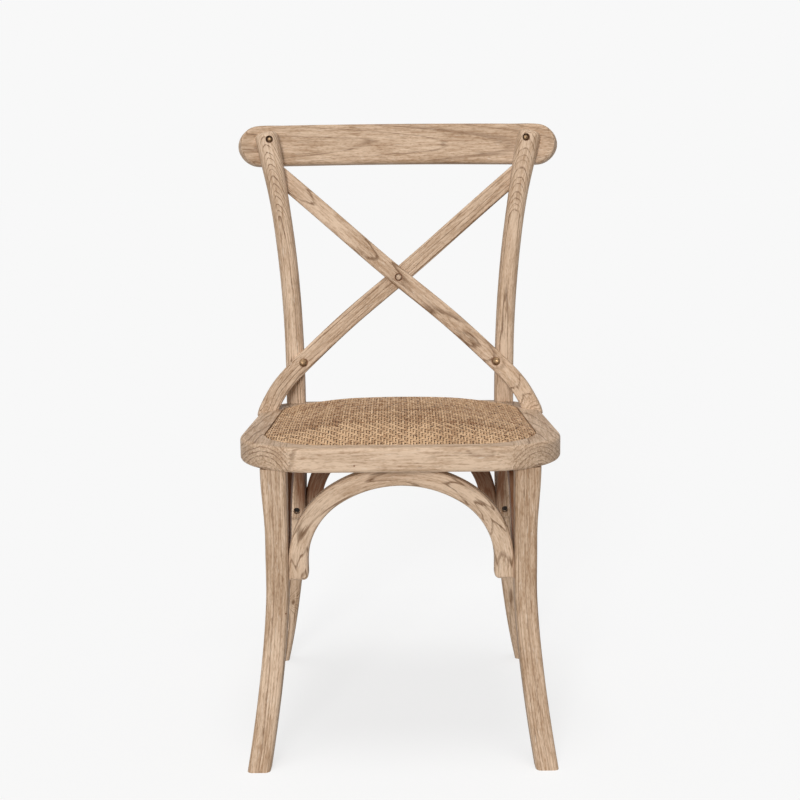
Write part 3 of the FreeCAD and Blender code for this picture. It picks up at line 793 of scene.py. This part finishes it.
def weave_outline():
    """The woven seat's outline as points, anticlockwise seen from above."""
    half_front = WEAVE_HIGH.x
    half_back = WEAVE_BACK_WIDTH / 2
    front = Vector((half_front - WEAVE_FRONT_RADIUS, WEAVE_LOW.y + WEAVE_FRONT_RADIUS))
    back = Vector((half_back - WEAVE_BACK_RADIUS, WEAVE_HIGH.y - WEAVE_BACK_RADIUS))
    step = back - front
    lean = math.atan2(step.y, step.x) - math.acos(
        (WEAVE_FRONT_RADIUS - WEAVE_BACK_RADIUS) / step.length)
    points = []
    for centre, radius, start, end in ((front, WEAVE_FRONT_RADIUS, -math.pi / 2, lean),
                                       (back, WEAVE_BACK_RADIUS, lean, math.pi / 2)):
        for i in range(CORNER_STEPS + 1):
            turn = start + (end - start) * i / CORNER_STEPS
            points.append(centre + Vector((math.cos(turn), math.sin(turn))) * radius)
    return divided(points + [Vector((-p.x, p.y)) for p in reversed(points)], OUTLINE_STEP)


def span(outline, axis, at):
    """Where a line at a place across one axis enters and leaves the outline."""
    hits = []
    for a, b in zip(outline, outline[1:] + outline[:1]):
        if (a[axis] - at) * (b[axis] - at) < 0:
            share = (at - a[axis]) / (b[axis] - a[axis])
            other = 1 - axis
            hits.append(a[other] + (b[other] - a[other]) * share)
    return (min(hits), max(hits)) if len(hits) >= 2 else None


class Crown:
    """The seat's crowned surface over the outline."""

    def __init__(self, outline, height, drop):
        self.middle = Vector((0.0, (WEAVE_LOW.y + WEAVE_HIGH.y) / 2))
        self.height = height
        self.drop = drop
        polar = []
        for p in outline:
            arm = p - self.middle
            polar.append((math.atan2(arm.y, arm.x), arm.length))
        polar.sort()
        self.polar = polar

    def reach(self, x, y):
        """How far out a place is, from 0 in the middle to 1 at the outline."""
        arm = Vector((x, y)) - self.middle
        turn = math.atan2(arm.y, arm.x)
        number = bisect.bisect_right(self.polar, turn, key=lambda entry: entry[0])
        first = self.polar[number - 1]
        second = self.polar[number % len(self.polar)]
        gap = (second[0] - first[0]) % (2 * math.pi)
        ahead = (turn - first[0]) % (2 * math.pi)
        share = ahead / gap if gap else 0.0
        return arm.length / (first[1] + (second[1] - first[1]) * share)

    def z(self, x, y):
        reach = min(1.0, self.reach(x, y))
        tuck = max(0.0, (reach - CROWN_TUCK_START) / (1 - CROWN_TUCK_START))
        aside = abs(x) / WEAVE_HIGH.x
        rise = self.height * (1 - reach ** CROWN_FULLNESS) * (1 - CROWN_SIDE_FALL * aside ** 2)
        return SEAT_TOP + rise - self.drop - CROWN_TUCK_DEPTH * tuck * tuck

    def normal(self, x, y):
        step = SLOPE_STEP
        slope_x = (self.z(x + step, y) - self.z(x - step, y)) / (2 * step)
        slope_y = (self.z(x, y + step) - self.z(x, y - step)) / (2 * step)
        return Vector((-slope_x, -slope_y, 1.0)).normalized()


def strand_lines(name, axis, outline, crown, pitch):
    """The strands of one direction as lines on the crown, with their rise and tone."""
    draw = random.Random(STRAND_SEED + axis)
    low = min(p[axis] for p in outline)
    high = max(p[axis] for p in outline)
    count = int((high - low) / pitch)
    first = (low + high - (count - 1) * pitch) / 2
    run_middle = crown.middle[1 - axis]
    points, edges, lifts, normals, tones, runs = [], [], [], [], [], []
    for number in range(count):
        at = first + number * pitch + draw.uniform(-STRAND_SCATTER, STRAND_SCATTER) * pitch
        ends = span(outline, axis, at)
        tone = draw.random()
        if ends is None or ends[1] - ends[0] < STRAND_LEAST * pitch:
            continue
        steps = max(4, int((ends[1] - ends[0]) / (pitch / 2)))
        for i in range(steps + 1):
            along = ends[0] + (ends[1] - ends[0]) * i / steps
            x, y = (at, along) if axis == 0 else (along, at)
            crossing = (along - run_middle) / pitch
            turn = (crossing - (TWILL_START[axis] - number)) / TWILL
            lift = STRAND_FLATNESS * math.cos(2 * math.pi * turn)
            lift = max(-1.0, min(1.0, lift))
            if i:
                edges.append((len(points) - 1, len(points)))
            points.append((x, y, crown.z(x, y)))
            lifts.append(lift)
            normals.extend(crown.normal(x, y))
            tones.append(tone)
            runs.append(along)
    mesh = bpy.data.meshes.new(name)
    mesh.from_pydata(points, edges, [])
    for key, values in (("strand_lift", lifts), ("strand_tone", tones), ("strand_run", runs)):
        mesh.attributes.new(key, "FLOAT", "POINT").data.foreach_set("value", values)
    mesh.attributes.new("strand_up", "FLOAT_VECTOR", "POINT").data.foreach_set("vector", normals)
    return new_object(name, mesh)


def strand_tree(material):
    """Lines become flat strands that rise and fall over each other."""
    build = GeometryTree("Cane strands")
    width, thickness, rise = build.numbers("Width", "Thickness", "Rise")
    up = build.attribute("strand_up", "FLOAT_VECTOR")
    lift = Value(build.tree, build.attribute("strand_lift"))
    offset = build.add("ShaderNodeVectorMath", {0: up, "Scale": lift * rise},
                       operation="SCALE")
    moved = build.add("GeometryNodeSetPosition",
                      {"Geometry": build.inputs.outputs[0], "Offset": offset})
    curve = build.add("GeometryNodeMeshToCurve", {0: moved})
    facing = build.add("GeometryNodeSetCurveNormal", {"Curve": curve, "Normal": up},
                       mode="FREE")
    ring = build.add("GeometryNodeCurvePrimitiveCircle",
                     {"Resolution": STRAND_SIDES, "Radius": 1.0}, mode="RADIUS")
    flat = build.scaled(ring, thickness * 0.5, width * 0.5, 1.0)
    strand = build.add("GeometryNodeCurveToMesh",
                       {"Curve": facing, "Profile Curve": flat, "Fill Caps": True})
    build.end(build.smooth(strand), material)
    return build


def crowned_pad(name, outline, crown, floor, material):
    """A closed crowned pad under the weave."""
    points = [(crown.middle.x, crown.middle.y, crown.z(*crown.middle))]
    for i in range(1, PAD_RINGS + 1):
        share = PAD_INSET * i / PAD_RINGS
        for p in outline:
            q = crown.middle + (p - crown.middle) * share
            points.append((q.x, q.y, crown.z(q.x, q.y)))
    count = len(outline)
    for p in outline:
        q = crown.middle + (p - crown.middle) * PAD_INSET
        points.append((q.x, q.y, floor))
    faces = [(0, 1 + i, 1 + (i + 1) % count) for i in range(count)]
    for ring in range(PAD_RINGS):
        start = 1 + ring * count
        for i in range(count):
            j = (i + 1) % count
            faces.append((start + i, start + count + i, start + count + j, start + j))
    base = 1 + PAD_RINGS * count
    faces.append(tuple(reversed(range(base, base + count))))
    mesh = bpy.data.meshes.new(name)
    mesh.from_pydata(points, [], faces)
    mesh.shade_smooth()
    return new_object(name, mesh, material)


def islands(node):
    """The separate solids of a CAD piece, each as a list of its points."""
    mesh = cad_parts[node].data
    spots = [tuple(round(c, 6) for c in vertex.co) for vertex in mesh.vertices]
    places = {}
    for spot in spots:
        places.setdefault(spot, len(places))
    keys = [places[spot] for spot in spots]
    parent = list(range(len(places)))

    def top(i):
        while parent[i] != i:
            parent[i] = parent[parent[i]]
            i = parent[i]
        return i

    for edge in mesh.edges:
        parent[top(keys[edge.vertices[0]])] = top(keys[edge.vertices[1]])
    groups = {}
    for place, number in places.items():
        groups.setdefault(top(number), []).append(Vector(place))
    return sorted(groups.values(), key=lambda group: group[0].x)


def widest(points, middle, aside=None):
    """The direction in which points spread most, at right angles to aside if it is given."""
    axis = AXIS_GUESS
    for _ in range(AXIS_ROUNDS):
        total = Vector()
        for p in points:
            total += (p - middle) * (p - middle).dot(axis)
        if aside:
            total -= aside * total.dot(aside)
        axis = total.normalized()
    return axis


def head_end(points):
    """A fastener's middle, its unit axis towards the front, and its reach along that."""
    middle = sum(points, Vector()) / len(points)
    axis = widest(points, middle)
    side = widest(points, middle, axis)
    spread = [sum((p - middle).dot(line) ** 2 for p in points) for line in (axis, side)]
    if spread[1] > DISC_SPREAD * spread[0]:
        axis = axis.cross(side)
    if axis.y > 0:
        axis = axis * -1
    reach = max((p - middle).dot(axis) for p in points)
    return middle, axis, reach


def sunk_places(node, radius):
    """The outer end of each of a node's fasteners, with the radius of its hole."""
    places = []
    for points in islands(node):
        middle, axis, reach = head_end(points)
        places.append((middle + axis * reach, radius))
    return places


def dome_tree(material):
    """Domed screw heads on points, each with a shank behind it."""
    build = GeometryTree("Domed heads")
    diameter, height, shank, length = build.numbers(
        "Head diameter", "Dome height", "Shank diameter", "Shank length")
    ball = build.add("GeometryNodeMeshUVSphere", {"Segments": 32, "Rings": 16, "Radius": 1.0})
    x, y, z = parts(build.tree, build.add("GeometryNodeInputPosition"))
    flat = triple(build.tree, x, y, z.at_least(DOME_BACK))
    pressed = build.add("GeometryNodeSetPosition", {"Geometry": ball, "Position": flat})
    head = build.scaled(pressed, diameter * 0.5, diameter * 0.5, height)
    rod = build.add("GeometryNodeMeshCylinder",
                    {"Vertices": 16, "Radius": shank * 0.5, "Depth": length})
    shift = triple(build.tree, 0.0, 0.0, length * -0.5)
    back = build.add("GeometryNodeTransform", {"Geometry": rod, "Translation": shift})
    both = build.add("GeometryNodeJoinGeometry", {0: back})
    build.tree.links.new(build.smooth(head), both.node.inputs[0])
    axis = build.attribute("axis", "FLOAT_VECTOR")
    turn = build.add("FunctionNodeAlignRotationToVector", {"Vector": axis}, axis="Z")
    placed = build.add("GeometryNodeInstanceOnPoints",
                       {"Points": build.inputs.outputs[0], "Instance": both,
                        "Rotation": turn})
    build.end(placed, material)
    return build


def domed(name, node, slot, material, diameter, height, shank):
    """Domed heads with their shanks, in the place of each solid of a CAD node."""
    places, axes, lengths = [], [], []
    for points in islands(node):
        middle, axis, reach = head_end(points)
        back = max((p - middle).dot(axis * -1) for p in points)
        places.append(tuple(middle + axis * (reach - height)))
        axes.extend(axis)
        lengths.append(reach + back - height)
    mesh = bpy.data.meshes.new(name)
    mesh.from_pydata(places, [], [])
    mesh.attributes.new("axis", "FLOAT_VECTOR", "POINT").data.foreach_set("vector", axes)
    heads = dome_tree(material).run(new_object(name, mesh), Head_diameter=diameter,
                                    Dome_height=height, Shank_diameter=shank,
                                    Shank_length=min(lengths))
    return declare(heads, slot, node)


def declare(piece, slot, *nodes):
    """A finished piece rides on the chair and stands for its CAD nodes."""
    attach(piece, BODY)
    if nodes:
        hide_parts(*nodes)
    return piece


class CHAIR_OT_rear_posts(bpy.types.Operator):
    """Finish both rear legs with their posts"""

    bl_idname = "chair.rear_posts"
    bl_label = "Rear Posts"

    def execute(self, context):
        sunk = sunk_places("top_rail_screws", RAIL_HOLE_RADIUS)
        for name, side, pith, seed, rate, look in (
                ("left", -1, (0.002, -0.028), 3.0, 0.30,
                 {"wander": 0.005, "spacing": 0.62, "tone": -0.06, "lines": 0.95,
                  "knots": [(-0.0056, 0.113, 0.006)]}),
                ("right", 1, (-0.003, -0.037), 19.0, 0.38,
                 {"wander": 0.004, "spacing": 0.80, "tone": 0.02, "lines": 0.85})):
            # Both posts are painted dark under the seat as its shade, and in the rail screws'
            # holes as their shade
            material = wood(f"oak_post_{name}", post_grain(side), pith, seed,
                            drift=head_drift(rate), seat_shade=0.90, holes=sunk, **look)
            finish(f"rear_leg_post_{name}", material)
        return {"FINISHED"}


class CHAIR_OT_front_legs(bpy.types.Operator):
    """Finish both front legs"""

    bl_idname = "chair.front_legs"
    bl_label = "Front Legs"

    def execute(self, context):
        # The left leg's pinhole is a dark spot of painted shade
        for name, side, pith, seed, look in (
                ("left", -1, (0.090, 0.01), 41.0,
                 {"spacing": 0.75, "tone": 0.12, "lines": 0.6,
                  "holes": [(LEG_PINHOLE, PINHOLE_RADIUS)]}),
                ("right", 1, (-0.080, 0.02), 53.0,
                 {"spacing": 0.8, "tone": 0.26, "lines": 0.65})):
            material = wood(f"oak_leg_{name}", leg_grain(side), pith, seed,
                            wander=0.006, lean=0.01, **look)
            finish(f"front_leg_{name}", material)
        return {"FINISHED"}


class CHAIR_OT_back(bpy.types.Operator):
    """Finish the top rail and the crossed splats"""

    bl_idname = "chair.back"
    bl_label = "Back"

    def execute(self, context):
        # painted shade in the plug's hole, and under each domed head a little below its middle
        plug_hole = sunk_places("cross_centre_plug", PLUG_HOLE_RADIUS)
        head_shade = [(place + Vector((0.0, 0.0, -HEAD_SHADE_DROP)), radius)
                 for place, radius in sunk_places("splat_domed_screws", HEAD_SHADE_RADIUS)]
        finish("top_rail", wood("oak_top_rail", rail_grain, (-0.012, 0.030), 67.0, wander=0.016,
                                lean=0.05, spacing=1.3, tone=0.20, lines=0.6))
        for name, side, pith, seed, look in (
                ("front", 1, (0.0, 0.022), 71.0,
                 {"wander": 0.014, "lean": 0.05, "spacing": 1.6, "tone": 0.12, "lines": 0.85,
                  "holes": plug_hole + head_shade}),
                ("back", -1, (0.05, 0.004), 83.0,
                 {"wander": 0.004, "lean": 0.005, "spacing": 1.3, "tone": 0.10, "lines": 0.9,
                  "holes": head_shade})):
            material = wood(f"oak_splat_{name}", splat_grain(side), pith, seed, **look)
            finish(f"cross_splat_{name}", material)
        return {"FINISHED"}


class CHAIR_OT_arches(bpy.types.Operator):
    """Finish the four bentwood arches"""

    bl_idname = "chair.arches"
    bl_label = "Arches"

    def execute(self, context):
        front = (ARCH_LOW + ARCH_HIGH) / 2
        rear = (REAR_ARCH_LOW + REAR_ARCH_HIGH) / 2
        sides = (SIDE_ARCH_LOW + SIDE_ARCH_HIGH) / 2
        side_half = (SIDE_ARCH_HIGH.y - SIDE_ARCH_LOW.y) / 2
        # Each plan: its node, grain, seed and pith, how strongly it is painted dark as the
        # seat's shade, and the side that shade is painted on
        plans = (
            ("front_arch", arch_grain(0, front, ARCH_HIGH.x), 97.0, (0.004, 0.024), 0.0, 1),
            ("rear_arch", arch_grain(0, rear, REAR_ARCH_HIGH.x), 101.0, (0.0, -0.022),
             0.95, -1),
            ("side_arch_left", arch_grain(1, Vector((-sides.x, sides.y)), side_half), 113.0,
             (0.0, 0.024), 0.95, 1),
            ("side_arch_right", arch_grain(1, sides, side_half), 127.0, (0.0, -0.024),
             0.95, -1),
        )
        for node, grain, seed, pith, dark, shade_side in plans:
            finish(node, wood(f"oak_{node}", grain, pith, seed, wander=0.008, lean=0.06,
                              spacing=0.7, tone=0.02, lines=0.85, seat_shade=dark,
                              shade_side=shade_side))
        return {"FINISHED"}


class CHAIR_OT_seat_frame(bpy.types.Operator):
    """Finish the four rails of the seat frame, their dowels and the base panel"""

    bl_idname = "chair.seat_frame"
    bl_label = "Seat Frame"

    def execute(self, context):
        for node, seed, axis in (("seat_rail_front", 131.0, 0), ("seat_rail_back", 137.0, 0),
                                 ("seat_rail_left", 139.0, 1), ("seat_rail_right", 149.0, 1)):
            low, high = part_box(node)
            pith = ((-0.004, 0.060), (-0.035, 0.0))[axis]
            look = ({"wander": 0.014, "lean": 0.02, "spacing": 1.5, "tone": -0.08, "lines": 0.5},
                    {"wander": 0.012, "lean": 0.04, "tone": 0.12, "lines": 0.8})[axis]
            # The front rail's pinhole is a dark spot of painted shade
            if node == "seat_rail_front":
                look["holes"] = [(RAIL_PINHOLE, PINHOLE_RADIUS)]
            grain = straight_grain((low + high) / 2, axis)
            finish(node, wood(f"oak_{node}", grain, pith, seed, **look))
        grain = straight_grain(Vector((0, 0, SEAT_TOP)), 0)
        finish("seat_frame_dowels", wood("oak_dowel", grain, (0.02, 0.02), 151.0))
        finish("seat_base_panel", plywood())
        return {"FINISHED"}


class CHAIR_OT_woven_seat(bpy.types.Operator):
    """Weave the cane seat and put its pad under it"""

    bl_idname = "chair.woven_seat"
    bl_label = "Woven Seat"

    def execute(self, context):
        settings = context.scene.chair_weave
        outline = weave_outline()
        height = WEAVE_HIGH.z - SEAT_TOP - CROWN_LOWERING
        crown = Crown(outline, height, settings.rise + settings.thickness / 2)
        build = strand_tree(cane())
        for name, axis in (("cane_warp", 0), ("cane_weft", 1)):
            lines = strand_lines(name, axis, outline, crown, settings.pitch)
            strands = build.run(lines, Width=settings.width, Thickness=settings.thickness,
                                Rise=settings.rise)
            declare(strands, "rattan_cane", "woven_seat")
        under = Crown(outline, height, 3 * settings.rise + 1.5 * settings.thickness)
        # the pad is painted dark as the shade in the weave's gaps
        pad = crowned_pad("seat_pad", outline, under, PANEL_HIGH.z + PAD_CLEARANCE, gap_shade())
        declare(pad, "foam", "seat_padding")
        return {"FINISHED"}


class CHAIR_OT_fasteners(bpy.types.Operator):
    """Make the domed and sunk heads and the plug, and finish the other fasteners"""

    bl_idname = "chair.fasteners"
    bl_label = "Fasteners"

    def execute(self, context):
        settings = context.scene.chair_metal
        brass = metal("aged_brass", settings.brass, 0.30, 0.8)
        steel = metal("dull_steel", settings.steel, 0.5, 0.6)
        for node in ("cross_centre_screw", "splat_head_screws", "arch_end_screws",
                     "arch_crown_screws", "post_bolts", "seat_panel_screws"):
            finish(node, steel)
        domed("splat_screw_heads", "splat_domed_screws", "brass", brass,
              settings.dome_diameter, settings.dome_height, SHANK_DIAMETER)
        domed("rail_screw_heads", "top_rail_screws", "steel", brass,
              settings.sunk_diameter, settings.sunk_height, SHANK_DIAMETER)
        grain = straight_grain(Vector((0, 0, SPLAT_SCREW_Z)), 1)
        plug = wood("oak_plug", grain, (0.02, 0.02), 157.0, tone=-0.1, lines=0.3)
        domed("crossing_plug", "cross_centre_plug", "weathered_oak", plug,
              settings.plug_diameter, settings.sunk_height, settings.plug_diameter)
        return {"FINISHED"}


class CHAIR_OT_stage(bpy.types.Operator):
    """Put the chair on a pale floor, in soft light, before the photograph's camera"""

    bl_idname = "chair.stage"
    bl_label = "Stage"

    def execute(self, context):
        settings = context.scene.chair_stage
        scene = context.scene
        scene.view_settings.view_transform = "Standard"
        suns = (("top_light", settings.top_light, settings.top_height, settings.top_softness),
                ("front_light", settings.front_light, settings.front_height,
                 settings.front_softness))
        lit = settings.sky
        for name, strength, height, softness in suns:
            lit += strength * math.sin(height) / math.pi
            self.sun(name, strength, height, softness, settings.light_side)
        self.floor(settings, lit)
        self.world(scene, settings)
        self.camera(scene, settings)
        return {"FINISHED"}

    def picked(self, tree, lighting, seen):
        """One shader lights the scene, and another is what the camera sees or mirrors show."""
        rays = tree.nodes.new("ShaderNodeLightPath")
        direct = Value(tree, rays.outputs["Is Camera Ray"])
        for ray in ("Is Glossy Ray", "Is Transmission Ray"):
            direct = direct.at_least(Value(tree, rays.outputs[ray]))
        pick = tree.nodes.new("ShaderNodeMixShader")
        fill(tree, pick, {0: direct, 1: lighting, 2: seen})
        return pick.outputs[0]

    def floor(self, settings, lit):
        mesh = bpy.data.meshes.new("floor")
        corners = ((-1, -1), (1, -1), (1, 1), (-1, 1))
        mesh.from_pydata([(x * FLOOR_REACH, y * FLOOR_REACH, 0) for x, y in corners], [],
                         [(0, 1, 2, 3)])
        material, tree, shader = blank_material("pale_floor")
        fill(tree, shader, {"Base Color": (*[settings.floor_bounce] * 3, 1.0),
                            "Roughness": 1.0, "Specular IOR Level": 0.0})
        soft = tree.nodes.new("ShaderNodeBsdfDiffuse")
        feed(tree, soft.inputs["Color"], (*[settings.floor_shadow] * 3, 1.0))
        glow = tree.nodes.new("ShaderNodeEmission")
        feed(tree, glow.inputs["Strength"], settings.background - settings.floor_shadow * lit)
        seen = tree.nodes.new("ShaderNodeAddShader")
        fill(tree, seen, {0: soft.outputs[0], 1: glow.outputs[0]})
        surface = self.picked(tree, shader.outputs[0], seen.outputs[0])
        tree.links.new(surface, tree.nodes["Material Output"].inputs["Surface"])
        new_object("floor", mesh, material)

    def world(self, scene, settings):
        world = bpy.data.worlds.new("studio")
        world.use_nodes = True
        tree = world.node_tree
        light = tree.nodes["Background"]
        plain = tree.nodes.new("ShaderNodeBackground")
        for node, strength in ((light, settings.sky), (plain, settings.background)):
            fill(tree, node, {"Color": (1.0, 1.0, 1.0, 1.0), "Strength": strength})
        surface = self.picked(tree, light.outputs[0], plain.outputs[0])
        tree.links.new(surface, tree.nodes["World Output"].inputs["Surface"])
        scene.world = world

    def sun(self, name, strength, height, softness, side):
        lamp = bpy.data.lights.new(name, "SUN")
        lamp.energy = strength
        lamp.angle = softness
        light = new_object(name, lamp)
        light.rotation_euler = (math.pi / 2 - height, 0.0, -side)

    def camera(self, scene, settings):
        lens = bpy.data.cameras.new("camera")
        lens.sensor_width = 36.0
        lens.lens = settings.focal_pixels / PHOTO_WIDTH * lens.sensor_width
        camera = new_object("camera", lens)
        camera.location = (0.0, SEAT_FRONT - settings.camera_distance, settings.camera_height)
        camera.rotation_mode = "YXZ"
        camera.rotation_euler = (math.pi / 2 - settings.camera_pitch, 0.0, 0.0)
        camera.rotation_euler.rotate_axis("Z", -settings.camera_roll)
        scene.camera = camera


OPERATORS = (
    CHAIR_OT_rear_posts,
    CHAIR_OT_front_legs,
    CHAIR_OT_back,
    CHAIR_OT_arches,
    CHAIR_OT_seat_frame,
    CHAIR_OT_woven_seat,
    CHAIR_OT_fasteners,
    CHAIR_OT_stage,
)


class CHAIR_PT_sidebar(bpy.types.Panel):
    """The chair's steps and settings"""

    bl_idname = "CHAIR_PT_sidebar"
    bl_label = "Cross Back Chair"
    bl_space_type = "VIEW_3D"
    bl_region_type = "UI"
    bl_category = "Chair"

    def draw(self, context):
        for operator in OPERATORS:
            self.layout.operator(operator.bl_idname)
        for name, group in SETTINGS.items():
            box = self.layout.box()
            for key in group.__annotations__:
                box.prop(getattr(context.scene, name), key)


def register():
    for group in SETTINGS.values():
        bpy.utils.register_class(group)
    for name, group in SETTINGS.items():
        setattr(bpy.types.Scene, name, PointerProperty(type=group))
    for operator in OPERATORS:
        bpy.utils.register_class(operator)
    bpy.utils.register_class(CHAIR_PT_sidebar)


def unregister():
    bpy.utils.unregister_class(CHAIR_PT_sidebar)
    for operator in reversed(OPERATORS):
        bpy.utils.unregister_class(operator)
    for name in SETTINGS:
        delattr(bpy.types.Scene, name)
    for group in reversed(list(SETTINGS.values())):
        bpy.utils.unregister_class(group)


def main():
    register()
    for operator in OPERATORS:
        group, name = operator.bl_idname.split(".")
        if getattr(getattr(bpy.ops, group), name)() != {"FINISHED"}:
            raise RuntimeError(f"{operator.bl_idname} didn't finish")


if __name__ == "__main__":
    main()
